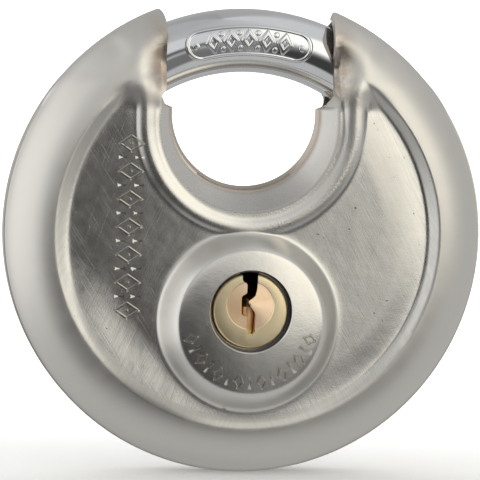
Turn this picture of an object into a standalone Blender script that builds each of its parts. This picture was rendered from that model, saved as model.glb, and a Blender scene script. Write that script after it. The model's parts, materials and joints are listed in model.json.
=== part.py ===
"""Disc padlock: two pressed stainless shells welded round their edge, a round C-shaped
shackle that swings inside them about the centre of the disc, and a pin-tumbler cylinder
whose crank drives the shackle.

Drawing frame used while modelling: x to the right, y up (towards the shackle), z out of
the front face, zero on the seam plane at the centre of the disc. At the end an empty turns
the drawing frame so that +Z is up and the front face looks along -Y, with the origin on
the underside of the shackle, where the padlock hangs.
"""
import math

import bmesh
import bpy
from mathutils import Matrix, Vector

# ----------------------------------------------------------------- driving dimensions (mm)
MM = 0.001
BODY_R = 35.0            # radius of the disc
SHEET = 1.3              # thickness of the pressed stainless sheet
SEAM_GAP = 0.15          # each shell stops this far from the seam plane
FLOOR_H = 8.0            # height of the recessed face over the seam plane
RING_C, RING_R = 26.0, 9.0       # the outer ring's round section: its centre and radius
BOSS_Y, BOSS_R = -12.4, 13.3     # round boss about the keyhole
BOSS_H, REAR_BOSS_H = 12.5, 12.0
BAR_R, BAR_PATH_R = 4.65, 28.1   # shackle bar radius, radius of its centre line
TOE_DEG, HEEL_DEG = 127.0, -68.0
THROAT_Y, THROAT_R = 17.4, 10.5  # throat at the seam plane
RIM_Y, RIM_R = 16.1, 13.0        # throat at its rim
RIM_H, BEAD_H = 6.7, 8.9         # height of the rim, and of the bead round it
JAW_SEAM_X, JAW_FRONT_X = 13.2, 12.2     # half the gap between the jaws, at the seam and at the front
JAW_Y = 19.2             # the throat's wall ends here, and the shackle's mouth begins
BEAD_R = 16.7            # foot of the raised bead round the throat
AXIS_Y = -10.7           # cylinder axis
PLUG_R, BORE_R = 5.4, 5.5
KEYHOLE_R = 5.9
PLUG_FACE_H = 11.35
PIN_R, CHAMBER_R = 1.1, 1.2
PIN_H = [8.4, 5.4, 2.4, -0.5]    # height of each pin stack along the cylinder axis
PIN_TIP = [1.2, -0.9, 0.3, -1.5]  # top of each key pin over the cylinder axis
CRANK_E = 7.0            # eccentricity of the crank pin
CRANK_PIN_R = 1.5
SLOT_HALF = 2.1          # half width of the slot in the arm
ARM_LOW, ARM_HIGH = -5.7, -4.3
CRANK_LOW, CRANK_HIGH = -3.9, -2.3
PLATE_LOW, PLATE_HIGH = 4.95, 5.95
POST_X, POST_Y = 18.0, -1.0
ARM_DEG = -math.degrees(math.atan2(-AXIS_Y, CRANK_E))   # the arm points at the crank pin

# ------------------------------------------------------------------------------- helpers
for o in list(bpy.data.objects):
    bpy.data.objects.remove(o, do_unlink=True)

scene = bpy.context.scene
parts = bpy.data.collections.new("disc_padlock")
scene.collection.children.link(parts)


def material(name, colour, roughness, metallic):
    m = bpy.data.materials.new(name)
    m.use_nodes = True
    b = m.node_tree.nodes["Principled BSDF"]
    b.inputs["Base Color"].default_value = (*colour, 1.0)
    b.inputs["Roughness"].default_value = roughness
    b.inputs["Metallic"].default_value = metallic
    m.diffuse_color = (*colour, 1.0)
    return m


STAINLESS = material("satin_stainless", (0.60, 0.58, 0.54), 0.32, 1.0)
CHROME = material("chrome_plate", (0.66, 0.67, 0.69), 0.08, 1.0)
BRASS = material("brass", (0.76, 0.62, 0.36), 0.30, 1.0)
STEEL = material("plain_steel", (0.42, 0.42, 0.43), 0.38, 1.0)
HARD = material("hardened_steel", (0.25, 0.25, 0.27), 0.35, 1.0)
NYLON = material("black_nylon", (0.03, 0.03, 0.03), 0.45, 0.0)
SPRING = material("spring_steel", (0.55, 0.56, 0.58), 0.25, 1.0)


def add(name, mesh):
    ob = bpy.data.objects.new(name, mesh)
    parts.objects.link(ob)
    return ob


def tidy(bm):
    bmesh.ops.remove_doubles(bm, verts=bm.verts, dist=1e-7)
    bmesh.ops.recalc_face_normals(bm, faces=bm.faces)


def bake(ob):
    """Replaces the object's data by its evaluated mesh, welded and facing out."""
    bpy.context.view_layer.update()
    graph = bpy.context.evaluated_depsgraph_get()
    mesh = bpy.data.meshes.new_from_object(ob.evaluated_get(graph))
    bm = bmesh.new()
    bm.from_mesh(mesh)
    tidy(bm)
    bm.to_mesh(mesh)
    bm.free()
    name, world = ob.name, ob.matrix_world.copy()
    bpy.data.objects.remove(ob, do_unlink=True)
    made = add(name, mesh)
    made.matrix_world = world
    return made


def turned(name, profile, centre=(0.0, 0.0), steps=48):
    """A closed (radius, height) profile turned about the z direction through centre."""
    mesh = bpy.data.meshes.new(name)
    n = len(profile)
    closed = profile[0][0] > 1e-6 and profile[-1][0] > 1e-6
    edges = [(i, i + 1) for i in range(n - 1)] + ([(n - 1, 0)] if closed else [])
    mesh.from_pydata([(r * MM, 0.0, h * MM) for r, h in profile], edges, [])
    ob = add(name, mesh)
    screw = ob.modifiers.new("turn", "SCREW")
    screw.axis = "Z"
    screw.steps = screw.render_steps = steps
    screw.use_merge_vertices = True
    screw.merge_threshold = 1e-6
    ob.location = (centre[0] * MM, centre[1] * MM, 0.0)
    ob = bake(ob)
    ob.data.transform(ob.matrix_world)
    ob.matrix_world = Matrix.Identity(4)
    return ob


def cylinder(name, x, y, r, h0, h1, steps=24, chamfer=0.0):
    """A round pin along z, from h0 to h1, with a small chamfer at each end."""
    if chamfer:
        prof = [(0, h1), (r - chamfer, h1), (r, h1 - chamfer), (r, h0 + chamfer), (r - chamfer, h0), (0, h0)]
        return turned(name, prof, (x, y), steps)
    bm = bmesh.new()
    bmesh.ops.create_cone(bm, cap_ends=True, cap_tris=False, segments=steps,
                          radius1=r * MM, radius2=r * MM, depth=(h1 - h0) * MM,
                          matrix=Matrix.Translation(Vector((x, y, (h0 + h1) / 2)) * MM))
    mesh = bpy.data.meshes.new(name)
    bm.to_mesh(mesh)
    bm.free()
    return add(name, mesh)


def box(name, lo, hi):
    bm = bmesh.new()
    bmesh.ops.create_cube(bm, size=1.0)
    for v in bm.verts:
        for k in range(3):
            v.co[k] = (lo[k] if v.co[k] < 0 else hi[k]) * MM
    mesh = bpy.data.meshes.new(name)
    bm.to_mesh(mesh)
    bm.free()
    return add(name, mesh)


def plate(name, outline, h0, h1):
    """A flat plate: a filled 2D curve with an extrude of half its thickness."""
    curve = bpy.data.curves.new(name, "CURVE")
    curve.dimensions = "2D"
    curve.fill_mode = "BOTH"
    curve.extrude = (h1 - h0) / 2 * MM
    spline = curve.splines.new("POLY")
    spline.points.add(len(outline) - 1)
    for p, (x, y) in zip(spline.points, outline):
        p.co = (x * MM, y * MM, 0.0, 1.0)
    spline.use_cyclic_u = True
    ob = add(name, curve)
    ob = bake(ob)
    ob.data.transform(Matrix.Translation((0, 0, (h0 + h1) / 2 * MM)))
    return ob


def arc(cx, cy, r, a0, a1, n):
    return [(cx + r * math.cos(math.radians(a0 + (a1 - a0) * i / n)),
             cy + r * math.sin(math.radians(a0 + (a1 - a0) * i / n))) for i in range(n + 1)]


def u_outline(cy, r, top, n=18):
    """A U: up the left side, half a circle at the bottom, up the right side."""
    return [(-r, top)] + arc(0.0, cy, r, 180.0, 360.0, n) + [(r, top)]


def u_loft(name, sections, top=40.0):
    """A solid lofted between U outlines, each (height, centre y, radius)."""
    bm = bmesh.new()
    rings = []
    for h, cy, r in sections:
        rings.append([bm.verts.new((x * MM, y * MM, h * MM)) for x, y in u_outline(cy, r, top)])
    n = len(rings[0])
    for a, b in zip(rings, rings[1:]):
        for i in range(n):
            j = (i + 1) % n
            bm.faces.new((a[i], a[j], b[j], b[i]))
    bm.faces.new(rings[0])
    bm.faces.new(rings[-1])
    tidy(bm)
    mesh = bpy.data.meshes.new(name)
    bm.to_mesh(mesh)
    bm.free()
    return add(name, mesh)


def combine(ob, *others, op="DIFFERENCE"):
    for other in others:
        b = ob.modifiers.new("bool", "BOOLEAN")
        b.operation = op
        b.solver = "EXACT"
        b.object = other
        ob = bake(ob)
        bpy.data.objects.remove(other, do_unlink=True)
    return ob


def cut(ob, *cutters):
    return combine(ob, *cutters, op="DIFFERENCE")


def join(ob, *others):
    return combine(ob, *others, op="UNION")


def finish(ob, mat):
    ob.data.materials.clear()
    ob.data.materials.append(mat)
    ob.data.shade_smooth()
    ob.data.set_sharp_from_angle(angle=math.radians(32))
    return ob


# -------------------------------------------------------------------------------- shells


def ring_arc(radius, a0, a1, n):
    return [(RING_C + radius * math.cos(math.radians(a0 + (a1 - a0) * i / n)),
             radius * math.sin(math.radians(a0 + (a1 - a0) * i / n))) for i in range(n + 1)]


RING_OUT = [(26.4, FLOOR_H), (26.9, 8.15)] + ring_arc(RING_R, 76.5, 1.2, 7)
RING_IN = [(26.7, FLOOR_H - SHEET)] + ring_arc(RING_R - SHEET, 72.0, 4.0, 4) + [(BODY_R - SHEET, -1.0)]
BOSS_IN = [(0, 11.2), (9.6, 11.2), (11.2, 10.0), (12.0, 8.0), (12.0, 0.5), (0, 0.5)]
THROAT = [(-1.0, THROAT_Y, THROAT_R - 0.1), (0.0, THROAT_Y, THROAT_R), (3.3, 16.75, 11.75),
          (RIM_H, RIM_Y, RIM_R), (8.2, RIM_Y, RIM_R + 0.5), (BEAD_H + 0.1, RIM_Y, RIM_R + 1.7), (12.0, RIM_Y, RIM_R + 4.0)]
THROAT_WALL = [(-1.5, THROAT_Y, THROAT_R + SHEET), (0.0, THROAT_Y, THROAT_R + SHEET),
               (3.3, 16.75, 11.75 + SHEET), (RIM_H, RIM_Y, RIM_R + SHEET), (12.0, RIM_Y, RIM_R + SHEET)]


def flip(sections):
    return [(-h, a, b) for h, a, b in sections]


def shell(name, side):
    """side 1 is the front shell with the keyhole, side -1 the plain rear one."""
    s = side
    boss_h = BOSS_H if s > 0 else REAR_BOSS_H
    flat_r = 5.0 if s > 0 else 9.8
    boss_out = [(0, boss_h), (flat_r, boss_h), (10.6, 11.8), (12.1, 10.7), (13.0, 9.3),
                (BOSS_R, 8.1), (BOSS_R, 1.0), (0, 1.0)]

    def t(n, prof, centre=(0.0, 0.0), steps=40):
        return turned(n, [(r, s * h) for r, h in prof], centre, steps)

    def u(n, sections, top=40.0):
        return u_loft(n, sections if s > 0 else flip(sections), top)

    body = t(name, [(0, FLOOR_H)] + RING_OUT + [(0, SEAM_GAP)], steps=56)
    bead = u("bead", [(1.0, RIM_Y, BEAD_R), (FLOOR_H - 0.1, RIM_Y, BEAD_R),
                      (8.6, RIM_Y, 15.9), (BEAD_H, RIM_Y, 15.0)])
    cap = t("cap", [(0, BEAD_H + 0.1), (27.2, BEAD_H + 0.1)] + [(r - 0.02, h - 0.02) for r, h in RING_OUT[2:]]
            + [(0, SEAM_GAP)], steps=56)
    bead = combine(bead, cap, op="INTERSECT")
    body = join(body, t("boss", boss_out, (0.0, BOSS_Y)), bead)
    cavity = t("cavity", [(0, FLOOR_H - SHEET)] + RING_IN + [(0, -1.0)], steps=56)
    cavity = join(cavity, t("boss_cavity", BOSS_IN, (0.0, BOSS_Y)))
    cavity = cut(cavity, u("wall", THROAT_WALL))
    mouth = t("mouth", [(0, FLOOR_H - SHEET)] + RING_IN + [(0, -1.0)], steps=56)
    mouth = combine(mouth, box("mouth_box", (-16.0, JAW_Y, -9.0), (16.0, 40.0, 9.0)), op="INTERSECT")
    slope = (JAW_SEAM_X - JAW_FRONT_X) / BEAD_H
    jaws = plate("jaws", [(JAW_SEAM_X, 0.0), (JAW_SEAM_X - 14 * slope, 14.0), (14 * slope - JAW_SEAM_X, 14.0),
                          (-JAW_SEAM_X, 0.0), (14 * slope - JAW_SEAM_X, -14.0), (JAW_SEAM_X - 14 * slope, -14.0)], JAW_Y, 40.0)
    jaws.data.transform(Matrix.Rotation(math.radians(-90), 4, "X"))
    body = cut(body, cavity, u("throat", THROAT, 20.0), mouth, jaws)
    if s > 0:
        body = cut(body, cylinder("keyhole", 0, AXIS_Y, KEYHOLE_R, 9.0, 14.0, steps=48))
    return finish(body, STAINLESS)


shell("front_shell", 1)
shell("rear_shell", -1)

# ------------------------------------------------------------------------------- shackle
ANGLES = [TOE_DEG + (HEEL_DEG - TOE_DEG) * i / 40 for i in range(41)]


def bar_point(deg):
    return (BAR_PATH_R * math.cos(math.radians(deg)), BAR_PATH_R * math.sin(math.radians(deg)))


def tube(name, points, radii, bevel, sides_res):
    curve = bpy.data.curves.new(name, "CURVE")
    curve.dimensions = "3D"
    curve.bevel_depth = bevel * MM
    curve.bevel_resolution = sides_res
    curve.use_fill_caps = True
    spline = curve.splines.new("POLY")
    spline.points.add(len(points) - 1)
    for p, co, r in zip(spline.points, points, radii):
        p.co = (co[0] * MM, co[1] * MM, co[2] * MM, 1.0)
        p.radius = r
    return bake(add(name, curve))


path = [(*bar_point(TOE_DEG), 0.0), (*bar_point(TOE_DEG - 2.2), 0.0)]
path += [(*bar_point(a), 0.0) for a in ANGLES[1:]]
shackle = tube("shackle", path, [0.8] + [1.0] * (len(path) - 1), BAR_R, 6)


def polar(u, v, deg):
    """A point u out from the centre along deg and v to its left."""
    a = math.radians(deg)
    return (u * math.cos(a) - v * math.sin(a), u * math.sin(a) + v * math.cos(a))


# a flat on the heel, where the arm is riveted
flat = plate("flat", [polar(21, -14, ARM_DEG), polar(36, -14, ARM_DEG), polar(36, 8.4, ARM_DEG), polar(21, 8.4, ARM_DEG)], -7.0, ARM_HIGH + 0.4)
RIVETS = [polar(27.7, -2.4, ARM_DEG), polar(27.3, 4.6, ARM_DEG)]
shackle = cut(shackle, flat, *[cylinder("hole", x, y, 1.35, -6.0, -0.6) for x, y in RIVETS])
finish(shackle, CHROME)

arm_outline = [polar(u, v, ARM_DEG) for u, v in
               [(9.0, -2.4), (10.0, -3.6), (12.0, -4.2), (21.5, -4.2), (23.4, -4.8), (25.0, -4.9), (30.0, -4.9),
                (30.4, 0.0), (29.5, 7.2), (24.6, 7.6), (23.2, 5.4), (21.5, 4.2), (12.0, 4.2), (10.0, 3.6), (9.0, 2.4)]]
arm = plate("shackle_arm", arm_outline, ARM_LOW, ARM_HIGH)
slot_pts = [polar(*p, ARM_DEG) for p in
            arc(17.75, 0, SLOT_HALF, -90, 90, 10) + arc(12.65, 0, SLOT_HALF, 90, 270, 10)]
arm = cut(arm, plate("slot", slot_pts, -8.0, -3.0), *[cylinder("hole", x, y, 1.35, -8.0, -3.0) for x, y in RIVETS])
finish(arm, STEEL)

for i, (x, y) in enumerate(RIVETS):
    prof = [(0, -0.9), (1.2, -0.9), (1.2, ARM_LOW - 0.05), (1.9, ARM_LOW - 0.05), (1.6, ARM_LOW - 0.45), (0, ARM_LOW - 0.45)]
    finish(turned(f"arm_rivet_{i + 1}", prof, (x, y), 20), STEEL)

# ------------------------------------------------------------------------ lock cylinder
housing = cylinder("cylinder_housing", 0, AXIS_Y, 7.3, -1.9, 10.0, steps=40)
housing = join(housing,
               cylinder("flange", 0, AXIS_Y, 8.6, PLATE_HIGH + 0.3, 9.99, steps=40),
               box("bible", (-2.6, AXIS_Y - 11.6, -1.89), (2.6, AXIS_Y - 5.0, 9.98)))
housing = cut(housing, cylinder("bore", 0, AXIS_Y, BORE_R, -4.0, 12.0, steps=48))


def chamber(name, h, r, y0, y1, steps=16):
    """A round hole across the cylinder, along y, at height h."""
    bm = bmesh.new()
    place = Matrix.Translation(Vector((0, (y0 + y1) / 2, h)) * MM) @ Matrix.Rotation(math.radians(90), 4, "X")
    bmesh.ops.create_cone(bm, cap_ends=True, segments=steps, radius1=r * MM, radius2=r * MM,
                          depth=(y1 - y0) * MM, matrix=place)
    mesh = bpy.data.meshes.new(name)
    bm.to_mesh(mesh)
    bm.free()
    return add(name, mesh)


def cross_turned(name, profile, h, steps=16):
    """A (radius, y) profile turned about an axis along y at height h, measured from the cylinder axis."""
    ob = turned(name, profile, (0, 0), steps)
    ob.data.transform(Matrix.Translation(Vector((0, AXIS_Y, h)) * MM) @ Matrix.Rotation(math.radians(-90), 4, "X"))
    return ob


housing = cut(housing, *[chamber("chamber", h, CHAMBER_R, AXIS_Y - 13.0, AXIS_Y - 3.0) for h in PIN_H])
finish(housing, BRASS)

KEYWAY = [(1.07, 7.0), (1.05, 5.2), (0.85, 2.1), (-0.2, 1.35), (0.82, -0.45), (0.68, -3.0),
          (-0.58, -3.0), (-0.42, -0.95), (-1.2, -0.5), (-1.2, 2.0), (-0.45, 2.5), (-0.45, 3.8),
          (-1.15, 4.3), (-1.2, 7.0)]
plug = turned("plug", [(0, PLUG_FACE_H), (PLUG_R - 0.25, PLUG_FACE_H), (PLUG_R, PLUG_FACE_H - 0.25), (PLUG_R, -2.1), (0, -2.1)], (0, AXIS_Y), 48)
plug = join(plug, box("tenon", (-2.0, AXIS_Y - 2.0, -2.9), (2.0, AXIS_Y + 2.0, -2.0)))
plug = cut(plug,
           plate("keyway", [(x, AXIS_Y + y) for x, y in KEYWAY], 0.6 - 2.0, 14.0),
           turned("dimple", [(0, 12.0), (3.55, 12.0), (3.3, PLUG_FACE_H), (1.9, 10.75), (0, 10.45)], (0, AXIS_Y + 0.8), 32),
           *[chamber("chamber", h, CHAMBER_R, AXIS_Y - 7.0, AXIS_Y + tip + 0.3) for h, tip in zip(PIN_H, PIN_TIP)],
           cylinder("screw_hole", 0, AXIS_Y, 0.9, -6.0, -1.6, steps=16))
finish(plug, BRASS)

for i, (h, tip) in enumerate(zip(PIN_H, PIN_TIP)):
    key = cross_turned(f"key_pin_{i + 1}", [(0, tip), (0.45, tip), (PIN_R, tip - 0.75), (PIN_R, -5.0), (0.85, -5.24), (0, -5.24)], h)
    finish(key, BRASS)
    driver = cross_turned(f"driver_pin_{i + 1}", [(0, -5.6), (0.9, -5.6), (PIN_R, -5.8), (PIN_R, -7.8), (0.9, -8.0), (0, -8.0)], h)
    finish(driver, STEEL)
    turns, per = 3.5, 9
    n = int(turns * per)
    coil = [(0.8 * math.cos(2 * math.pi * k / per), AXIS_Y - 8.25 - 3.1 * k / n, h + 0.8 * math.sin(2 * math.pi * k / per)) for k in range(n + 1)]
    finish(tube(f"pin_spring_{i + 1}", coil, [1.0] * len(coil), 0.14, 1), SPRING)

cover = box("chamber_cover", (-2.4, AXIS_Y - 12.3, -1.7), (2.4, AXIS_Y - 11.75, 9.8))
finish(cover, BRASS)

drill = turned("anti_drill_plate", [(5.65, 10.9), (7.6, 10.9), (7.6, 10.3), (5.65, 10.3)], (0, AXIS_Y), 40)
finish(drill, HARD)

# crank on the plug's tail: wider than the bore, so that it also keeps the plug in
crank = plate("drive_crank",
              [(x, y + AXIS_Y) for x, y in arc(CRANK_E, 0, 2.9, -61, 61, 10) + arc(0, 0, 6.3, 61, 299, 22)], CRANK_LOW, CRANK_HIGH)
crank = cut(crank, box("square", (-2.15, AXIS_Y - 2.15, -3.15), (2.15, AXIS_Y + 2.15, -1.0)),
            turned("countersink", [(0, -5.0), (2.2, -5.0), (2.2, -3.85), (1.1, -3.25), (1.1, -3.0), (0, -3.0)], (0, AXIS_Y), 24))
crank = join(crank, cylinder("crank_pin", CRANK_E, AXIS_Y, CRANK_PIN_R, ARM_LOW - 0.2, -3.2, steps=24))
finish(crank, STEEL)
crank_screw = turned("crank_screw", [(0, -1.8), (0.75, -1.8), (0.75, -3.3), (1.75, -3.85), (0, -3.85)], (0, AXIS_Y), 20)
crank_screw = cut(crank_screw, box("driver_slot", (-2.5, AXIS_Y - 0.25, -5.0), (2.5, AXIS_Y + 0.25, -3.55)))
finish(crank_screw, STEEL)

# ------------------------------------------------------------------------------- chassis
# A plate behind the front shell carries the cylinder and closes the shackle's channel.
chassis = cylinder("chassis_plate", 0, 0, 26.0, PLATE_LOW, PLATE_HIGH, steps=64)
countersinks = [turned("sink", [(0, 7.0), (2.0, 7.0), (2.0, PLATE_HIGH), (1.1, PLATE_LOW + 0.1), (1.1, 4.0), (0, 4.0)],
                       (x, POST_Y), 20) for x in (-POST_X, POST_X)]
chassis = cut(chassis,
              plate("throat_clear", u_outline(RIM_Y, RIM_R + SHEET + 0.5, 40.0), 4.0, 8.0),
              cylinder("housing_hole", 0, AXIS_Y, 7.5, 4.0, 8.0, steps=40),
              box("bible_slot", (-2.9, -40.0, 4.0), (2.9, AXIS_Y - 4.0, 8.0)), *countersinks)
finish(chassis, STEEL)

for side, s in (("left", -1), ("right", 1)):
    post = turned(f"chassis_post_{side}", [(0, 4.7), (1.9, 4.7), (1.9, -5.6), (2.7, -5.6), (2.7, -6.4), (0, -6.4)],
                  (s * POST_X, POST_Y), 24)
    post = cut(post, cylinder("thread", s * POST_X, POST_Y, 1.0, 0.4, 7.0, steps=16))
    finish(post, STEEL)
    screw = turned(f"chassis_screw_{side}", [(0, 6.1), (1.65, 6.1), (1.75, 5.9), (0.85, 5.0), (0.85, 0.8), (0, 0.8)],
                   (s * POST_X, POST_Y), 16)
    screw = cut(screw, box("driver_slot", (s * POST_X - 2.2, POST_Y - 0.25, 5.75), (s * POST_X + 2.2, POST_Y + 0.25, 7.0)))
    finish(screw, STEEL)
    middle = 0.0 if s > 0 else 180.0
    wall = arc(0, 0, 23.15, middle - 36, middle + 33, 16) if s > 0 else arc(0, 0, 23.15, middle - 33, middle + 36, 16)
    inner = arc(0, 0, 21.3, middle + 33, middle - 36, 16) if s > 0 else arc(0, 0, 21.3, middle + 36, middle - 33, 16)
    finish(plate(f"shackle_guide_{side}", wall + inner, -6.4, 4.7), NYLON)

# pins across the channel that stop the shackle's two ends
STOP_ANGLE = math.degrees(math.asin((1.5 + 0.35) / BAR_PATH_R))
SHACKLE_SWING = 180.0 + 2.0 * ARM_DEG
for name, deg in (("toe_stop", TOE_DEG + STOP_ANGLE), ("heel_stop", HEEL_DEG - SHACKLE_SWING - STOP_ANGLE)):
    finish(cylinder(name, *bar_point(deg), 1.5, -6.4, 6.4, steps=20, chamfer=0.3), HARD)

# ------------------------------------------------------------------------- final placing
# +Z up, front face along -Y, origin on the underside of the shackle. Each moving piece has
# its object origin on the axis it turns about.
place = Matrix.Translation(Vector((0, 0, -(BAR_PATH_R - BAR_R) * MM))) @ Matrix.Rotation(math.radians(90), 4, "X")
SHACKLE_AXIS = place @ Vector((0, 0, 0))
PLUG_AXIS = place @ Vector((0, AXIS_Y * MM, 0))
WITH_SHACKLE = ("shackle", "arm_rivet")
WITH_PLUG = ("plug", "key_pin", "drive_crank", "crank_screw")
for ob in parts.objects:
    at = Vector((0, 0, 0))
    if ob.name.startswith(WITH_SHACKLE) and not ob.name.startswith("shackle_guide"):
        at = SHACKLE_AXIS
    elif ob.name.startswith(WITH_PLUG):
        at = PLUG_AXIS
    ob.data.transform(Matrix.Translation(-at) @ place)
    ob.location = at
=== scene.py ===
"""Looks of the disc padlock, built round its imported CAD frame: pressed stainless shells with a brushed recess, a
chromed shackle and a brass plug, on a plain pale floor in soft studio light."""
import json
import math

import bmesh
import bpy
import numpy as np
from mathutils import Matrix, Vector


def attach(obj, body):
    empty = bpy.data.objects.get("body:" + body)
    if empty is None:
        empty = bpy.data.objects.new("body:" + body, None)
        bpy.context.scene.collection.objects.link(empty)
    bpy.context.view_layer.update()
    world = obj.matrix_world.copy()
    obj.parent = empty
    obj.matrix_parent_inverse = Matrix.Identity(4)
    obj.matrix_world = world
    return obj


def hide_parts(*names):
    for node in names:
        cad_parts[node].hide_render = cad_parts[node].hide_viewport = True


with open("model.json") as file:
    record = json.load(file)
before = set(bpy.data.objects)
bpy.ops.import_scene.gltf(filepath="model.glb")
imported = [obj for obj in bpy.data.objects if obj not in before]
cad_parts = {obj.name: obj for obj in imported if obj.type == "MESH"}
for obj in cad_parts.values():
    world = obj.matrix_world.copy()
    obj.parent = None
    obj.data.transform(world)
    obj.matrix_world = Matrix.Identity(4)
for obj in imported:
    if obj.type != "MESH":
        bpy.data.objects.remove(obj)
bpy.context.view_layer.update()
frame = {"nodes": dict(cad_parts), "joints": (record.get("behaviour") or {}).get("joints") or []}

# The drawing frame of all shapes below: x to the right, y up from the disc's centre, h out of the front face, in mm.
# In the row frame X = x, Y = -h and Z = y + CENTRE_Z.
joints = {j["name"]: j for j in frame["joints"]}
CENTRE_Z = joints["shackle_turn"]["pos_m"][2] * 1000.0
AXIS_Y = joints["plug_turn"]["pos_m"][2] * 1000.0 - CENTRE_Z

SEAM = 0.15
SHEET = 1.3
FLOOR_H = 8.0
RING_C, RING_R, BODY_R = 26.0, 9.0, 34.996
BOSS_Y = -12.4
RIM_Y, RIM_R, RIM_H = 16.1, 13.0, 6.7
BEAD_H, BEAD_CREST = 8.9, 2.15
BAR_R, BAR_PATH_R = 4.64, 28.08
TOE_DEG, HEEL_DEG = 127.0, -68.0
KEYHOLE_R, PLUG_R, PLUG_FACE = 5.9, 5.4, 11.35
JAW_SEAM_X, JAW_FRONT_X = 13.2, 12.22


def to_world(p):
    p = np.asarray(p, float)
    return np.stack([p[..., 0], -p[..., 2], p[..., 1] + CENTRE_Z], -1) * 0.001


def smax(a, b, k):
    return 0.5 * (a + b + np.sqrt((a - b) ** 2 + k * k))


def smin(a, b, k):
    return 0.5 * (a + b - np.sqrt((a - b) ** 2 + k * k))


def smooth(a, b, x):
    t = np.clip((x - a) / (b - a), 0.0, 1.0)
    return t * t * (3 - 2 * t)


def link(ob):
    bpy.context.scene.collection.objects.link(ob)
    return ob


def mesh_object(name, verts_mm, faces, smooth_deg=None, weld=2e-6):
    mesh = bpy.data.meshes.new(name)
    co = to_world(verts_mm)
    mesh.from_pydata(co.tolist(), [], faces)
    mesh.validate()
    bm = bmesh.new()
    bm.from_mesh(mesh)
    bmesh.ops.remove_doubles(bm, verts=bm.verts, dist=weld)
    bmesh.ops.dissolve_degenerate(bm, edges=bm.edges, dist=weld * 0.5)
    bmesh.ops.recalc_face_normals(bm, faces=bm.faces)
    bm.to_mesh(mesh)
    bm.free()
    mesh.shade_smooth()
    if smooth_deg:
        mesh.set_sharp_from_angle(angle=math.radians(smooth_deg))
    return link(bpy.data.objects.new(name, mesh))


def boolean(ob, cutter, op="DIFFERENCE"):
    mod = ob.modifiers.new("b", "BOOLEAN")
    mod.operation, mod.solver, mod.object = op, "EXACT", cutter
    bpy.context.view_layer.update()
    done = bpy.data.meshes.new_from_object(ob.evaluated_get(bpy.context.evaluated_depsgraph_get()))
    ob.modifiers.clear()
    # a cutter's corner on an edge can leave a hair-thin gap
    bm = bmesh.new()
    bm.from_mesh(done)
    bmesh.ops.holes_fill(bm, edges=[e for e in bm.edges if e.is_boundary], sides=6)
    bm.to_mesh(done)
    bm.free()
    ob.data = done
    bpy.data.objects.remove(cutter, do_unlink=True)
    return ob


def turned(name, profile, centre, steps=96, smooth_deg=None):
    """A closed solid turned about the h direction: profile is (radius, h) from the axis round to the axis."""
    a = np.arange(steps) * 2 * math.pi / steps
    verts, faces, rings = [], [], []
    for r, h in profile:
        if r < 1e-6:
            rings.append([len(verts)] * steps)
            verts.append((centre[0], centre[1], h))
        else:
            rings.append(list(range(len(verts), len(verts) + steps)))
            verts += [(centre[0] + r * math.cos(t), centre[1] + r * math.sin(t), h) for t in a]
    pairs = list(zip(rings, rings[1:]))
    if profile[0][0] > 1e-6:
        pairs.append((rings[-1], rings[0]))
    for p, q in pairs:
        for i in range(steps):
            j = (i + 1) % steps
            f = [p[i], p[j], q[j], q[i]]
            f = [v for n, v in enumerate(f) if v not in f[:n]]
            if len(f) > 2:
                faces.append(f)
    return mesh_object(name, verts, faces, smooth_deg)


# ------------------------------------------------------------------------------------ the pressed face as a surface
def ring_h(r, radius):
    return np.sqrt(np.maximum(radius ** 2 - np.maximum(r - RING_C, 0.0) ** 2, 0.0))


def u_distance(x, y):
    return np.where(y > RIM_Y, np.abs(x), np.hypot(x, y - RIM_Y)) - RIM_R


def bead(d):
    rise = RIM_H + (BEAD_H - RIM_H) * np.sqrt(np.clip(1 - ((BEAD_CREST - d) / BEAD_CREST) ** 2, 0, 1))
    fall = BEAD_H - 0.9 * ((d - BEAD_CREST) / 1.75) ** 2
    return np.where(d < BEAD_CREST, rise, np.maximum(fall, 2.0))


def boss(rho, rear):
    if rear:
        top = 12.0 - 0.0 * rho
        side = 12.0 - (rho - 10.2) * 1.32
        return smin(top, side, 0.5)
    top = 12.52 - 0.72 * (np.clip(rho, 0, 12) / 10.6) ** 2.6
    side = 11.8 - (rho - 10.55) * 1.22 - 0.06 * (rho - 10.55) ** 2
    return smin(top, side, 0.28)


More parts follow.
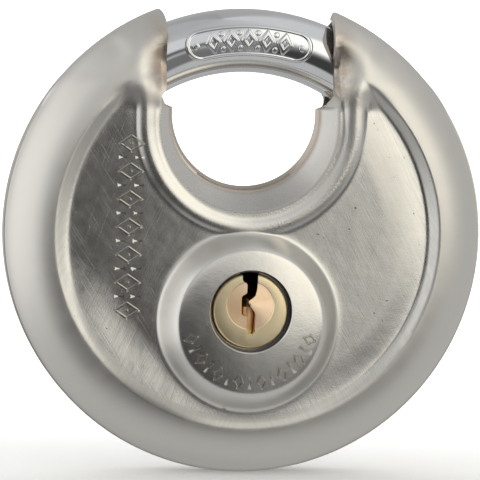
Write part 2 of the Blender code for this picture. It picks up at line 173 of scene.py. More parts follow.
def face_h(x, y, rear=False):
    r = np.hypot(x, y)
    th = np.arctan2(y, x)
    low_left = np.exp(-((np.cos(th - math.radians(225)) - 1) / 0.14) ** 2)
    up_right = np.exp(-((np.cos(th - math.radians(38)) - 1) / 0.2) ** 2)
    floor = FLOOR_H + 0.0009 * (24.0 ** 2 - x ** 2)
    if not rear:
        floor = floor + 0.5 * smooth(20.5, 28.5, r) * low_left - 0.5 * smooth(19.5, 27.0, r) * up_right
    east = 0.0 if rear else smooth(-0.1, 0.6, np.cos(th - math.radians(15))) * (1 - up_right)
    floor = floor - 0.28 * smooth(22.0, 27.0, r) * east
    # the recess runs out into the horns
    floor = floor + 1.0 * smooth(17.8, 22.0, y) * np.exp(-((np.abs(x) - 15.2) / 3.4) ** 2)
    slope = FLOOR_H + (r - 26.6) * (0.55 + 0.3 * east + (0.0 if rear else 0.35 * up_right)) - 0.24 * east - (0.0 if rear else 0.4 * up_right)
    base = smin(smax(floor, slope, 0.22), ring_h(r, RING_R), 0.16 + 0.5 * smooth(17.0, 21.0, y))
    h = smax(base, bead(u_distance(x, y)) - 0.5 * smooth(19.0, 24.0, y), 0.22 + 1.3 * smooth(17.5, 22.5, y))
    h = smax(h, boss(np.hypot(x, y - BOSS_Y), rear), 0.34)
    h = smin(h, ring_h(np.maximum(r, RING_C), RING_R) + 0.5 + 5.0 * (1 - smooth(16.5, 23.5, y)), 0.5)
    # the sheet is pressed in round the shackle where it enters the jaws
    dent = np.exp(-(((np.abs(x) - 12.4) / 3.0) ** 2 + ((y - 24.4) / 3.3) ** 2))
    return h - 2.0 * dent


def face_in(x, y, rear=False):
    """The inside of the sheet."""
    r = np.hypot(x, y)
    floor = FLOOR_H - SHEET + 0.0009 * (24.0 ** 2 - x ** 2)
    slope = FLOOR_H - SHEET + (r - 27.2) * 0.55
    base = smin(smax(floor, slope, 0.3), ring_h(r, RING_R - SHEET), 0.2)
    d = np.maximum(u_distance(x, y) - SHEET, 0.0)
    w = BEAD_CREST - SHEET
    inner = np.where(d < w, RIM_H - SHEET + 0.3 + (BEAD_H - RIM_H - 0.3) * np.sqrt(np.clip(1 - ((w - d) / w) ** 2, 0, 1)),
                     np.maximum(BEAD_H - SHEET - 0.9 * ((d - w) / 1.75) ** 2, 1.0))
    h = smax(base, inner, 0.2)
    rho = np.hypot(x, y - BOSS_Y)
    top = 11.2 + 0.0 * rho
    side = 11.2 - (rho - 9.9) * 1.3
    h = smax(h, smin(top, side, 0.4), 0.2)
    dent = np.exp(-(((np.abs(x) - 12.4) / 3.0) ** 2 + ((y - 24.4) / 3.3) ** 2))
    h = h - 2.2 * dent
    return np.minimum(h, ring_h(r, RING_R - SHEET) + 50.0 * (r < 27.0))


def wall_r(h):
    """Radius of the throat at height h, and the height of its centre."""
    t = np.clip(h / RIM_H, 0, 1)
    return 10.5 + (RIM_R - 10.5) * t ** 0.96, 17.4 + (RIM_Y - 17.4) * t


def rays(steps, tip_x):
    """(side, y, angle) of each section, from the left jaw's tip round the throat to the right jaw's tip."""
    tip = math.sqrt(BODY_R ** 2 - tip_x ** 2)
    ys = np.concatenate([tip - 0.001 - (tip - 31.0) * (np.linspace(0, 1, 14) ** 1.6), np.linspace(31.0, 21.4, 40)[1:],
                         np.linspace(21.4, 18.9, 18)[1:], np.linspace(18.9, 18.4, 9)[1:], np.linspace(18.4, RIM_Y, 12)[1:]])
    out = [(-1, y, 180.0) for y in ys]
    out += [(0, 0.0, a) for a in np.linspace(180.0, 360.0, steps)[1:-1]]
    out += [(1, y, 360.0) for y in ys[::-1]]
    return out


def shell(name, rear):
    NF = 112 if rear else 146
    r_ring = np.minimum(RING_C + RING_R * np.cos(np.radians(np.linspace(64, 1.6, 26))), BODY_R)
    r_in = RING_C + (RING_R - SHEET) * np.cos(np.radians(np.linspace(2.0, 64, 10)))
    wall_h = np.concatenate([[SEAM, 0.7, 1.12, 1.28, 1.36, 1.5, 1.62, 1.78], np.linspace(2.2, RIM_H, 9)])
    groove = np.array([0, 0, 0, 0.22, 0.3, 0.3, 0.22, 0.0] + [0.0] * 9)
    NI = 22
    loops, uv = [], []
    for side, y0, ang in rays(281, JAW_SEAM_X + (1.1 if rear else 0.0)):
        if side:
            direction = np.array([float(side), 0.0])
        else:
            direction = np.array([math.cos(math.radians(ang)), math.sin(math.radians(ang))])
        jaw = side != 0 and y0 > 18.0
        k = smooth(19.4, 21.3, y0) if side else 0.0       # 0 along the throat, 1 along the jaw's cut edge
        if side:
            xj = JAW_SEAM_X
            for _ in range(12):
                xj = max(JAW_FRONT_X, JAW_SEAM_X - 0.157 * float(face_h(np.array(xj), np.array(y0), rear)))
            if rear:
                xj = min(xj + 1.1 * float(smooth(29.0, 31.2, y0)), JAW_SEAM_X + 1.1)
            x0 = RIM_R * (1 - k) + xj * k
            start = np.array([side * x0, y0])
        else:
            start = np.array([0.0, RIM_Y]) + RIM_R * direction
        # outer face, from the rim to the widest circle
        b = float(start @ direction)
        reach = -b + math.sqrt(max(b * b - float(start @ start) + BODY_R ** 2, 0.0))

        def at_radius(rr):
            disc = b * b - float(start @ start) + rr ** 2
            return np.where(disc > 0, -b + np.sqrt(np.maximum(disc, 0)), -1.0)

        ring_d = np.minimum(np.maximum(at_radius(r_ring), 0.0), reach)
        lead_end = max(float(ring_d[0]), 0.0)
        roll = BEAD_CREST * min(1.0, lead_end / 6.0) * (1 - np.cos(np.linspace(0, math.pi / 2, 14)))
        t = np.linspace(0, 1, NF - 14 - 25)
        d_face = np.concatenate([roll, (roll[-1] + (lead_end - roll[-1]) * (0.55 * t + 0.45 * t ** 2.2))[1:], ring_d])
        P = start[None, :] + d_face[:, None] * direction[None, :]
        H = face_h(P[:, 0], P[:, 1], rear)
        H = np.maximum(H, SEAM)
        if not side or k < 1:
            # along the throat the face starts exactly on its rim
            fade = 1 - k
            H[0] = RIM_H * fade + H[0] * k
        H[-1] = SEAM
        face = np.column_stack([P, H])
        # wall of the throat, up from the seam
        low = SEAM
        if side and y0 > 18.5:
            low = max(SEAM, 5.0 * ((y0 - 18.5) / 2.3) ** 0.75)
            if y0 > 21.6:
                low = 20.0
        top_h = float(face[0, 2])
        hs = np.minimum(np.maximum(wall_h * (top_h / RIM_H if side and k > 0 else 1.0), low), top_h)
        rr, cy = wall_r(hs)
        gr = groove * (hs > low + 1e-6) * (1 - k)
        if side:
            flare = 0.97 * (max(y0 - 17.8, 0.0) / 0.8) ** 2 if y0 < 18.6 else 0.97 + (y0 - 18.6) * 0.22
            wx = np.minimum(rr + gr + flare * (1 - hs / RIM_H), x0)
            if y0 > 21.6:
                wx = JAW_SEAM_X - (JAW_SEAM_X - x0) * hs / max(top_h, 0.2)
            wy = y0 + (cy - RIM_Y) * max(0.0, 1 - (y0 - RIM_Y) / 2.3)
            wall = np.column_stack([side * wx, wy, hs])
        else:
            wall = np.column_stack([(rr + gr) * direction[0], cy + (rr + gr) * direction[1], hs])
        # inside of the sheet, from the widest circle back to the throat
        start_in = start + direction * SHEET
        if side and k > 0:
            start_in = start + direction * (SHEET * (1 - k) + 0.02 * k)
        bi = float(start_in @ direction)

        def in_radius(rr_):
            disc = bi * bi - float(start_in @ start_in) + rr_ ** 2
            return np.where(disc > 0, -bi + np.sqrt(np.maximum(disc, 0)), -1.0)

        ri = np.maximum(in_radius(r_in), 0.0)
        d_in = np.concatenate([ri, np.linspace(float(ri[-1]), 0, NI - len(ri) + 1)[1:]])
        Q = start_in[None, :] + d_in[:, None] * direction[None, :]
        HI = np.maximum(face_in(Q[:, 0], Q[:, 1], rear), SEAM)
        HI[0] = SEAM
        if ri[0] <= 0:
            HI[:] = SEAM
        HI = np.minimum(HI, np.maximum(face_h(Q[:, 0], Q[:, 1], rear) - 0.35, SEAM))
        inner = np.column_stack([Q, HI])
        top_in = float(inner[-1, 2])
        hw = np.linspace(top_in, max(min(low, top_in), SEAM), 8)[1:]
        rr2, cy2 = wall_r(hw)
        if side:
            wx2 = rr2 + SHEET + (flare if y0 > 17.8 else 0) * (1 - hw / RIM_H)
            wx2 = np.minimum(wx2, abs(start_in[0])) * (1 - k) + abs(start_in[0]) * k
            wy2 = y0 + (cy2 - RIM_Y) * max(0.0, 1 - (y0 - RIM_Y) / 2.3)
            wall_in = np.column_stack([side * wx2, wy2, hw])
        else:
            wall_in = np.column_stack([(rr2 + SHEET) * direction[0], cy2 + (rr2 + SHEET) * direction[1], hw])
        loop = np.vstack([wall, face, inner, wall_in])
        loops.append(loop)
    L = np.array(loops)
    nu, nv = L.shape[:2]
    if rear:
        L[:, :, 2] *= -1
    verts = L.reshape(-1, 3)
    faces = []
    for i in range(nu - 1):
        for j in range(nv):
            j2 = (j + 1) % nv
            faces.append((i * nv + j, i * nv + j2, (i + 1) * nv + j2, (i + 1) * nv + j))
    faces.append(tuple(range(nv)))
    faces.append(tuple(range((nu - 1) * nv, nu * nv)))
    return mesh_object(name, verts, faces, 38, weld=4e-6)


front = shell("front_shell_pressed", False)
hole = turned("keyhole_cut", [(0, 14.5), (KEYHOLE_R + 2.2, 14.5), (KEYHOLE_R + 0.02, 12.22), (KEYHOLE_R, 9.0), (0, 9.0)], (0, AXIS_Y), 128)
front = boolean(front, hole)
rear = shell("rear_shell_pressed", True)


# ------------------------------------------------------------- plain engraved marks: lozenges, bars and dots, no words
def prism(outline, inner, depth, verts, faces):
    """One closed V-shaped cutter that follows the front face: a filled outline, or a ring where there is an inner one."""
    n = len(outline)
    base = len(verts)

    def row(points, offset):
        for x, y in points:
            verts.append((x, y, float(face_h(np.array(x), np.array(y))) + offset))

    def toward(points, others, t):
        return [(x + (u - x) * t, y + (v - y) * t) for (x, y), (u, v) in zip(points, others)]

    def side(a, b, flip):
        for i in range(n):
            j = (i + 1) % n
            f = (base + a * n + i, base + a * n + j, base + b * n + j, base + b * n + i)
            faces.append(f[::-1] if flip else f)

    if inner is None:
        c = (sum(p[0] for p in outline) / n, sum(p[1] for p in outline) / n)
        row(toward(outline, [c] * n, 0.62), -depth)
        row(outline, 0.01)
        row(outline, 0.8)
        side(0, 1, False)
        side(1, 2, False)
        faces.append(tuple(base + i for i in range(n))[::-1])
        faces.append(tuple(base + 2 * n + i for i in range(n)))
        return
    row(toward(outline, inner, 0.4), -depth)
    row(outline, 0.01)
    row(outline, 0.8)
    row(inner, 0.8)
    row(inner, 0.01)
    row(toward(inner, outline, 0.4), -depth)
    for k in range(5):
        side(k, k + 1, False)
    side(5, 0, False)


def split(points, n):
    out = []
    for a, b in zip(points, points[1:] + points[:1]):
        out += [(a[0] + (b[0] - a[0]) * i / n, a[1] + (b[1] - a[1]) * i / n) for i in range(n)]
    return out


def placed(points, cx, cy, deg):
    c, s = math.cos(math.radians(deg)), math.sin(math.radians(deg))
    return [(cx + x * c - y * s, cy + x * s + y * c) for x, y in points]


def lozenge(w, h):
    return [(-w, 0.0), (0.0, -h), (w, 0.0), (0.0, h)]


def disc(r, n=12):
    return [(r * math.cos(2 * math.pi * i / n), r * math.sin(2 * math.pi * i / n)) for i in range(n)]


mv, mf = [], []
# a column down the left of the recess
MARK_X = -17.2
for i in range(7):
    cy = 13.0 - 4.0 * i
    cx = MARK_X - 0.055 * i
    prism(placed(split(lozenge(2.0, 1.35), 6), cx, cy, 0), placed(split(lozenge(1.32, 0.86), 6), cx, cy, 0), 0.2, mv, mf)
    prism(placed(disc(0.27), cx, cy, 0), None, 0.2, mv, mf)
    if i < 6:
        for sx in (-1, 1):
            prism(placed(split([(-0.62, -0.2), (0.62, -0.2), (0.62, 0.2), (-0.62, 0.2)], 3), cx + sx * 1.2, cy - 2.0, 0), None, 0.2, mv, mf)
# an arc under the keyhole
for i in range(15):
    deg = 197.0 + 146.0 * i / 14
    a = math.radians(deg)
    cx, cy = 8.95 * math.cos(a), BOSS_Y + 0.35 + 8.95 * math.sin(a)
    if i % 2 == 0:
        prism(placed(split(lozenge(1.2, 0.84), 4), cx, cy, deg), placed(split(lozenge(0.64, 0.42), 4), cx, cy, deg), 0.22, mv, mf)
    else:
        prism(placed(split([(-0.95, -0.2), (0.95, -0.2), (0.95, 0.2), (-0.95, 0.2)], 3), cx, cy, deg), None, 0.2, mv, mf)
marks = mesh_object("marks_cut", mv, mf)
front = boolean(front, marks)

for ob, node in ((front, "front_shell"), (rear, "rear_shell")):
    ob.data.shade_smooth()
    ob.data.set_sharp_from_angle(angle=math.radians(34))
    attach(ob, "case")
    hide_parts(node)


# ---------------------------------------------------------------------------------------------------- the shackle bar
def shackle_bar():
    span = TOE_DEG - HEEL_DEG
    fine = np.linspace(112.5, 67.5, 330)
    coarse_a = np.linspace(TOE_DEG, 112.5, 40)[:-1]
    coarse_b = np.linspace(67.5, HEEL_DEG, 190)[1:]
    angles = np.concatenate([coarse_a, fine, coarse_b])
    # round the bar: fine over the front, where the raised frame is
    phi = np.radians(np.concatenate([np.linspace(48, 132, 110), np.linspace(132, 408, 70)[1:-1]]))
    rows = []
    for a in angles:
        s_toe = (TOE_DEG - a) * math.pi / 180 * BAR_PATH_R
        s_heel = (a - HEEL_DEG) * math.pi / 180 * BAR_PATH_R
        scale = 1.0
        if s_toe < 1.5:
            scale = min(scale, 0.68 + 0.32 * math.sqrt(max(1 - (1 - s_toe / 1.5) ** 2, 0.0)))
        if s_heel < 0.6:
            scale = min(scale, 0.88 + 0.12 * math.sqrt(max(1 - (1 - s_heel / 0.6) ** 2, 0.0)))
        e = np.array([math.cos(math.radians(a)), math.sin(math.radians(a))])
        radial = BAR_R * scale * np.cos(phi)
        h = BAR_R * scale * np.sin(phi)
        # the raised frame: an outline with round ends, and small lozenges and dots inside it
        u = (90.0 - a) * math.pi / 180 * BAR_PATH_R           # along the bar from its top
        v = (phi - math.pi / 2) * BAR_R                         # across the bar
        half_len, half_w = 9.35, 2.3
        du = np.abs(u) - (half_len - half_w)
        sd = np.where(du > 0, np.hypot(np.maximum(du, 0), v), np.abs(v)) - half_w
        lift = 0.15 * (smooth(-0.55, -0.37, sd) - smooth(-0.12, 0.06, sd))
        inside = sd < -0.62
        pitch = 2.62
        cell = (u + 10 * pitch + pitch / 2) % pitch - pitch / 2
        n_cell = round((u - cell) / pitch)
        if abs(n_cell) <= 2:
            loz = np.abs(cell) / 1.08 + np.abs(v) / 1.6
            pattern = smooth(1.12, 0.94, loz) - smooth(0.56, 0.38, loz)
            cell2 = (u + 10 * pitch) % pitch - pitch / 2
            dot = smooth(0.42, 0.26, np.hypot(cell2, np.abs(v) - 1.12)) if abs(u) < 2 * pitch else 0.0
            lift = np.maximum(lift, 0.16 * np.maximum(pattern, dot) * inside)
        elif abs(n_cell) == 3:
            dot = smooth(0.5, 0.34, np.hypot(cell, v))
            lift = np.maximum(lift, 0.13 * dot * inside)
        radial = radial + lift * np.cos(phi)
        h = h + lift * np.sin(phi)
        if a < -36.0:
            h = np.maximum(h, -3.9 * min(scale * 1.1, 1.0))
        R = BAR_PATH_R + radial
        rows.append(np.column_stack([R * e[0], R * e[1], h]))
    rows = np.array(rows)
    nu, nv = rows.shape[:2]
    faces = [(i * nv + j, i * nv + (j + 1) % nv, (i + 1) * nv + (j + 1) % nv, (i + 1) * nv + j) for i in range(nu - 1) for j in range(nv)]
    faces += [tuple(range(nv)), tuple(range((nu - 1) * nv, nu * nv))]
    return mesh_object("shackle_bar", rows.reshape(-1, 3), faces, 50)


bar = shackle_bar()
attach(bar, "shackle_unit")
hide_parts("shackle")


# ------------------------------------------------------------------------------------------------------ the key plug
def plate_solid(name, outline, low, high):
    n = len(outline)
    verts = [(x, y, low) for x, y in outline] + [(x, y, high) for x, y in outline]
    faces = [(i, (i + 1) % n, n + (i + 1) % n, n + i) for i in range(n)] + [tuple(range(n)), tuple(range(n, 2 * n))]
    return mesh_object(name, verts, faces)


def cross_hole(name, h, r, y0, y1, steps=40):
    verts, faces = [], []
    for y in (y0, y1):
        verts += [(r * math.cos(2 * math.pi * i / steps), y, h + r * math.sin(2 * math.pi * i / steps)) for i in range(steps)]
    faces = [(i, (i + 1) % steps, steps + (i + 1) % steps, steps + i) for i in range(steps)]
    faces += [tuple(range(steps)), tuple(range(steps, 2 * steps))]
    return mesh_object(name, verts, faces)


PINS = [(8.4, 1.2), (5.4, -0.9), (2.4, 0.3), (-0.5, -1.5)]
edge = [(PLUG_R - 0.34, PLUG_FACE), (PLUG_R - 0.26, PLUG_FACE - 0.02), (PLUG_R - 0.06, PLUG_FACE - 0.2), (PLUG_R, PLUG_FACE - 0.3)]
plug = turned("plug_machined", [(0, PLUG_FACE)] + edge + [(PLUG_R, 6.9), (PLUG_R, 3.9), (PLUG_R, 0.9), (PLUG_R, -2.1), (0, -2.1)], (0, AXIS_Y), 160)
tenon = plate_solid("tenon", [(-2, AXIS_Y - 2), (2, AXIS_Y - 2), (2, AXIS_Y + 2), (-2, AXIS_Y + 2)], -2.9, -2.0)
plug = boolean(plug, tenon, "UNION")
dimple = [(0, 12.0), (3.62, 12.0), (3.5, PLUG_FACE + 0.01), (3.34, PLUG_FACE - 0.1)]
steps_r = np.linspace(3.3, 0.25, 42)
for i, r in enumerate(steps_r):
    level = 10.42 + (PLUG_FACE - 0.12 - 10.42) * (r / 3.34) ** 1.25
    dimple.append((float(r), float(level + (0.018 if i % 2 else -0.018))))
dimple.append((0, 10.42))
plug = boolean(plug, turned("dimple", dimple, (0, AXIS_Y + 0.8), 120))
KEYWAY = [(1.07, 7.0), (1.05, 5.2), (0.97, 3.0), (0.8, 2.2), (0.4, 1.75), (-0.12, 1.4), (-0.18, 1.2), (0.2, 0.5), (0.72, -0.2),
          (0.82, -0.6), (0.68, -3.0), (0.5, -3.3), (-0.4, -3.3), (-0.58, -3.0), (-0.42, -0.95), (-1.05, -0.62), (-1.2, -0.4),
          (-1.2, 1.9), (-1.05, 2.15), (-0.55, 2.45), (-0.45, 2.65), (-0.45, 3.7), (-0.6, 3.95), (-1.1, 4.3), (-1.2, 4.6), (-1.2, 7.0)]
plug = boolean(plug, plate_solid("keyway", [(x, AXIS_Y + y) for x, y in KEYWAY], -1.4, 14.0))
for h, tip in PINS:
    plug = boolean(plug, cross_hole("chamber", h, 1.2, AXIS_Y - 7.0, AXIS_Y + tip + 0.3))
plug = boolean(plug, turned("screw_hole", [(0, -1.6), (0.9, -1.6), (0.9, -6.0), (0, -6.0)], (0, AXIS_Y), 32))
plug.data.shade_smooth()
plug.data.set_sharp_from_angle(angle=math.radians(28))
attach(plug, "plug_unit")
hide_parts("plug")


# ------------------------------------------------------------------------------------------------------- materials
class Nodes:
    """A few lines of shorthand for building a node tree. Inputs may be sockets or plain numbers."""

    def __init__(self, tree):
        self.tree = tree

    def put(self, kind, ins=(), **props):
        node = self.tree.nodes.new(kind)
        for key, value in props.items():
            setattr(node, key, value)
        for key, value in dict(ins).items():
            self.feed(node.inputs[key], value)
        return node

    def feed(self, socket, value):
        if isinstance(value, bpy.types.NodeSocket):
            self.tree.links.new(value, socket)
        else:
            socket.default_value = value

    def m(self, op, a, b=0.0, c=0.0, clamp=False):
        node = self.tree.nodes.new("ShaderNodeMath")
        node.operation, node.use_clamp = op, clamp
        for i, v in enumerate((a, b, c)):
            self.feed(node.inputs[i], v)
        return node.outputs[0]

    def add(self, *v):
        out = v[0]
        for x in v[1:]:
            out = self.m("ADD", out, x)
        return out

    def mul(self, *v):
        out = v[0]
        for x in v[1:]:
            out = self.m("MULTIPLY", out, x)
        return out

    def sub(self, a, b):
        return self.m("SUBTRACT", a, b)

    def step(self, x, a, b):
        """0 below a, 1 above b, smooth between (a may be above b)."""
        if a > b:
            return self.sub(1.0, self.step(x, b, a))
        node = self.put("ShaderNodeMapRange", {"Value": x, "From Min": a, "From Max": b, "To Min": 0.0, "To Max": 1.0},
                        interpolation_type="SMOOTHSTEP", clamp=True)
        return node.outputs[0]

    def lerp(self, f, a, b):
        return self.add(a, self.mul(f, self.sub(b, a)))

    def mix(self, f, a, b, blend="MIX"):
        node = self.tree.nodes.new("ShaderNodeMix")
        node.data_type, node.blend_type, node.clamp_factor = "RGBA", blend, True
        self.feed(node.inputs["Factor"], f)
        for name, v in (("A", a), ("B", b)):
            sock = next(s for s in node.inputs if s.name == name and s.type == "RGBA")
            self.feed(sock, (*v, 1.0) if isinstance(v, tuple) and len(v) == 3 else v)
        return next(s for s in node.outputs if s.type == "RGBA")

    def noise(self, vector, scale, detail=2.0, rough=0.5, dist=0.0):
        node = self.put("ShaderNodeTexNoise", {"Vector": vector, "Scale": scale, "Detail": detail, "Roughness": rough, "Distortion": dist})
        return node.outputs["Fac"] if "Fac" in node.outputs else node.outputs[0]

    def mapped(self, vector, rot=(0, 0, 0), scale=(1, 1, 1), loc=(0, 0, 0)):
        """Turned first and stretched after, so that streaks run along the turned axis."""
        turned_v = self.put("ShaderNodeMapping", {"Vector": vector, "Rotation": tuple(math.radians(r) for r in rot)}).outputs[0]
        return self.put("ShaderNodeMapping", {"Vector": turned_v, "Location": loc, "Scale": scale}).outputs[0]


def material(name, base, rough, metal=1.0, spec=0.5):
    mat = bpy.data.materials.new(name)
    mat.use_nodes = True
    tree = mat.node_tree
    tree.nodes.clear()
    n = Nodes(tree)
    out = n.put("ShaderNodeOutputMaterial")
    bsdf = n.put("ShaderNodeBsdfPrincipled", {"Metallic": metal, "Roughness": rough, "Base Color": (*base, 1.0)})
    tree.links.new(bsdf.outputs[0], out.inputs["Surface"])
    mat.diffuse_color = (*base, 1.0)
    n.bsdf = bsdf
    coords = n.put("ShaderNodeTexCoord").outputs["Object"]
    sep = n.put("ShaderNodeSeparateXYZ", {"Vector": coords})
    n.x = n.mul(sep.outputs[0], 1000.0)
    n.h = n.mul(sep.outputs[1], -1000.0)
    n.y = n.sub(n.mul(sep.outputs[2], 1000.0), CENTRE_Z)
    n.p = n.put("ShaderNodeCombineXYZ", {0: n.x, 1: n.y, 2: n.h}).outputs[0]   # the drawing's own millimetres
    return mat, n


def bump(n, height, distance, after=None):
    node = n.put("ShaderNodeBump", {"Strength": 1.0, "Distance": distance, "Height": height})
    if after is not None:
        n.feed(node.inputs["Normal"], after)
    return node.outputs[0]


def shell_steel():
    mat, n = material("satin_stainless_worked", (0.62, 0.61, 0.59), 0.3)
    r = n.m("SQRT", n.add(n.mul(n.x, n.x), n.mul(n.y, n.y)))
    yb = n.sub(n.y, BOSS_Y)
    rho = n.m("SQRT", n.add(n.mul(n.x, n.x), n.mul(yb, yb)))
    yu = n.m("MAXIMUM", 0.0, n.m("MULTIPLY", n.sub(RIM_Y, n.y), 1.0))
    d_u = n.sub(n.m("SQRT", n.add(n.mul(n.x, n.x), n.mul(yu, yu))), RIM_R)
    ring = n.step(r, 27.9, 28.3)                       # the outer ring
    bead_m = n.mul(n.sub(1.0, n.step(d_u, 3.0, 3.9)), n.sub(1.0, ring))
    boss_m = n.sub(1.0, n.step(rho, 13.2, 14.2))
    dome_m = n.sub(1.0, n.step(rho, 10.3, 10.8))
    floor_m = n.mul(n.sub(1.0, bead_m), n.mul(n.sub(1.0, boss_m), n.sub(1.0, ring)))
    right = n.step(n.x, -2.0, 8.0)

    cloud = n.noise(n.p, 0.11, 3.0, 0.55)
    patch = n.noise(n.p, 0.45, 4.0, 0.6)
    grain = n.noise(n.p, 3.4, 3.0, 0.6)
    fine = n.noise(n.p, 9.0, 2.0, 0.6)
    half = n.step(n.x, -1.5, 1.5)
    lines = n.lerp(half, n.noise(n.mapped(n.p, rot=(0, 0, -63), scale=(0.16, 6.5, 1.0)), 1.0, 3.0, 0.65),
                   n.noise(n.mapped(n.p, rot=(0, 0, 63), scale=(0.16, 6.5, 1.0)), 1.0, 3.0, 0.65))
    lines2 = n.noise(n.mapped(n.p, rot=(0, 0, 8), scale=(0.3, 3.2, 1.0)), 1.0, 2.0, 0.6)
    scratch = n.step(n.noise(n.mapped(n.p, rot=(0, 0, 57), scale=(0.12, 4.2, 1.0), loc=(3.0, 7.0, 1.0)), 1.0, 1.0, 0.4), 0.66, 0.72)
    scratch2 = n.step(n.noise(n.mapped(n.p, rot=(0, 0, -70), scale=(0.1, 3.6, 1.0), loc=(9.0, 2.0, 5.0)), 1.0, 1.0, 0.4), 0.69, 0.74)
    pits = n.mul(n.step(n.noise(n.p, 2.3, 0.0, 0.5), 0.78, 0.83), n.step(patch, 0.54, 0.62), floor_m)

    steel = n.mix(cloud, (0.64, 0.625, 0.59), (0.70, 0.685, 0.645))
    satin = n.mix(patch, (0.65, 0.63, 0.59), (0.69, 0.672, 0.63))
    col = n.mix(ring, steel, satin)
    col = n.mix(n.mul(floor_m, n.step(lines, 0.35, 0.75), 0.5), col, (0.50, 0.49, 0.47))
    # painted shade: the right half of the recess floor is painted darker, fading out towards the ring
    col = n.mix(n.mul(floor_m, right, n.mul(n.step(r, 27.0, 21.0), 0.85)), col, (0.44, 0.43, 0.41))
    col = n.mix(n.mul(pits, 0.7), col, (0.16, 0.15, 0.14))
    # heat tint where the shackle's mouth was worked, and along the throat's lip
    ax = n.m("ABSOLUTE", n.x)
    neck = n.mul(n.sub(1.0, n.step(n.m("ABSOLUTE", n.sub(ax, 12.6)), 0.6, 3.4)), n.step(n.y, 17.5, 22.5), n.step(n.y, 33.0, 26.0))
    neck = n.mul(neck, n.step(patch, 0.2, 0.6))
    col = n.mix(n.mul(neck, 0.75), col, (0.36, 0.265, 0.185))
    lip = n.mul(n.sub(1.0, n.step(n.m("ABSOLUTE", n.h), 1.2, 2.6)), n.step(d_u, 0.5, -0.6))
    col = n.mix(n.mul(lip, 0.55), col, (0.40, 0.30, 0.22))
    # painted shade: inside the mouth, down by the seam, the steel is painted near black where shade falls; the cut
    # edges there are also left rough
    mouth_shade_mask = n.mul(n.step(ax, 13.9, 13.5), n.step(n.y, 20.8, 22.4), n.mul(n.m("MAXIMUM", n.step(n.y, 31.2, 30.2), n.step(n.h, 0.1, -0.1)), n.step(n.h, 3.4, 1.6)))
    col = n.mix(n.mul(mouth_shade_mask, 0.9), col, (0.035, 0.033, 0.03))
    n.feed(n.bsdf.inputs["Base Color"], col)

    rough = n.lerp(ring, 0.19, 0.42)
    rough = n.lerp(n.mul(n.step(r, 26.0, 27.0), n.sub(1.0, ring)), rough, 0.4)
    rough = n.lerp(n.mul(n.sub(1.0, n.step(d_u, 3.8, 5.4)), n.sub(1.0, ring), n.sub(1.0, right)), rough, 0.27)
    rough = n.lerp(n.mul(n.step(n.y, 17.6, 20.2), n.sub(1.0, ring)), rough, 0.42)
    rough = n.lerp(n.mul(bead_m, right), rough, 0.3)
    rough = n.lerp(boss_m, rough, 0.32)
    rough = n.lerp(dome_m, rough, 0.25)
    rough = n.lerp(neck, rough, 0.36)
    rough = n.lerp(mouth_shade_mask, rough, 0.6)
    rough = n.add(rough, n.mul(n.sub(patch, 0.5), 0.12), n.mul(n.sub(lines, 0.5), n.mul(floor_m, 0.12)))
    n.feed(n.bsdf.inputs["Roughness"], n.m("MAXIMUM", rough, 0.05))

    brushed = n.mul(n.add(n.mul(lines, 1.0), n.mul(lines2, 0.5)), n.add(n.mul(floor_m, 0.85), n.mul(ring, 0.2), n.mul(boss_m, 0.3)))
    scr = n.mul(n.add(scratch, scratch2), n.add(n.mul(floor_m, 0.35), n.mul(boss_m, 0.08), n.mul(ring, 0.05)))
    nrm = bump(n, n.add(brushed, n.mul(scr, -0.8)), 0.0000055)
    sparkle = n.mul(grain, n.add(0.5, n.mul(ring, 0.3), n.mul(n.mul(bead_m, right), 4.0), n.mul(boss_m, 0.75)))
    nrm = bump(n, n.add(sparkle, n.mul(fine, 0.25), n.mul(pits, -1.5)), 0.0000085, nrm)
    nrm = bump(n, cloud, 0.00006, nrm)
    n.feed(n.bsdf.inputs["Normal"], nrm)
    return mat


def chrome():
    mat, n = material("chrome_plate_polished", (0.70, 0.71, 0.72), 0.05)
    cloud = n.noise(n.p, 0.35, 3.0, 0.6)
    fine = n.noise(n.p, 5.0, 3.0, 0.6)
    wear = n.step(n.noise(n.mapped(n.p, rot=(0, 0, 12), scale=(0.5, 5.0, 1.4)), 1.0, 2.0, 0.6), 0.6, 0.74)
    n.feed(n.bsdf.inputs["Base Color"], n.mix(cloud, (0.66, 0.67, 0.685), (0.74, 0.745, 0.75)))
    n.feed(n.bsdf.inputs["Roughness"], n.add(0.035, n.mul(cloud, 0.03), n.mul(wear, 0.05)))
    n.feed(n.bsdf.inputs["Normal"], bump(n, n.add(n.mul(fine, 0.6), n.mul(wear, -0.5)), 0.0000015))
    return mat


